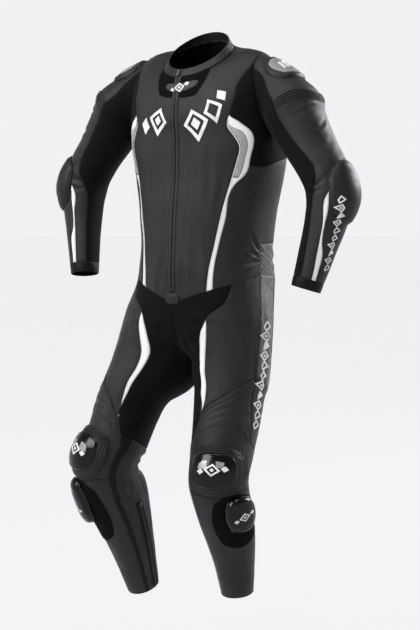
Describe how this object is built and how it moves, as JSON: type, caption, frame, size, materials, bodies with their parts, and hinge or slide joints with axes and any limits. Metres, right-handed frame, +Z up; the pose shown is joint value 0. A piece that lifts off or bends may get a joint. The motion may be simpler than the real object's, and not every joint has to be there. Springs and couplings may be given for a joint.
{
  "type": "motorcycle race suit",
  "caption": "One-piece leather motorcycle race suit, worn hollow form with armour cups, knee sliders, stretch panels and a front zip with a swinging pull tab.",
  "frame": {"origin": "base of the neck, midway between the shoulders that carry the suit", "axes": "+Z up, -Y towards the front of the suit, +X towards the wearer's left"},
  "size_m": [0.8047, 0.3715, 1.3023],
  "materials": {
    "charcoal_leather": "matt grained cowhide, dark charcoal",
    "white_leather": "smooth white leather",
    "stretch_fabric": "black bi-elastic woven aramid",
    "ribbed_fabric": "ribbed stretch, dark grey",
    "soft_leather": "soft black nappa leather",
    "protector_shell": "moulded cup under leather and satin plastic",
    "gloss_plastic": "gloss black moulded polyurethane",
    "hook_fabric": "black hook-and-loop pile",
    "badge_rubber": "moulded grey rubber",
    "zip_metal": "gunmetal plated zip"
  },
  "bodies": {
    "suit": {"front_left": "charcoal_leather", "front_right": "charcoal_leather", "flank_left": "charcoal_leather", "flank_right": "charcoal_leather", "back": "charcoal_leather", "shoulder_left": "charcoal_leather", "shoulder_right": "charcoal_leather", "upper_sleeve_left": "charcoal_leather", "upper_sleeve_right": "charcoal_leather", "forearm_left": "charcoal_leather", "forearm_right": "charcoal_leather", "thigh_front_left": "charcoal_leather", "thigh_front_right": "charcoal_leather", "thigh_side_left": "charcoal_leather", "thigh_side_right": "charcoal_leather", "seat_left": "charcoal_leather", "seat_right": "charcoal_leather", "knee_left": "charcoal_leather", "knee_right": "charcoal_leather", "shin_left": "charcoal_leather", "shin_right": "charcoal_leather", "zip_cover": "charcoal_leather", "chest_blade_left": "white_leather", "chest_blade_right": "white_leather", "forearm_stripe_left": "white_leather", "forearm_stripe_right": "white_leather", "thigh_stripe_left": "white_leather", "thigh_stripe_right": "white_leather", "underarm_stretch_left": "stretch_fabric", "underarm_stretch_right": "stretch_fabric", "inner_sleeve_left": "stretch_fabric", "inner_sleeve_right": "stretch_fabric", "inner_leg_stretch_left": "stretch_fabric", "inner_leg_stretch_right": "stretch_fabric", "hip_ribs_left": "ribbed_fabric", "hip_ribs_right": "ribbed_fabric", "neck_insert_left": "soft_leather", "neck_insert_right": "soft_leather", "collar": "soft_leather", "cuff_left": "soft_leather", "cuff_right": "soft_leather", "calf_left": "soft_leather", "calf_right": "soft_leather", "shoulder_cup_left": "protector_shell", "shoulder_cup_right": "protector_shell", "elbow_cup_left": "protector_shell", "elbow_cup_right": "protector_shell", "knee_cup_left": "protector_shell", "knee_cup_right": "protector_shell", "knee_insert_left": "gloss_plastic", "knee_insert_right": "gloss_plastic", "knee_slider_left": "gloss_plastic", "knee_slider_right": "gloss_plastic", "slider_base_left": "hook_fabric", "slider_base_right": "hook_fabric", "neck_badge": "badge_rubber", "front_zip": "zip_metal", "zip_slider": "zip_metal"},
    "zip_pull": {"zip_pull": "zip_metal"}
  },
  "joints": [
    {"name": "zip_pull_swing", "type": "hinge", "parent": "suit", "child": "zip_pull", "pos_m": [0, -0.1069, -0.02756], "axis": [-1, 0, 0], "range_deg": [0, 120]}
  ]
}
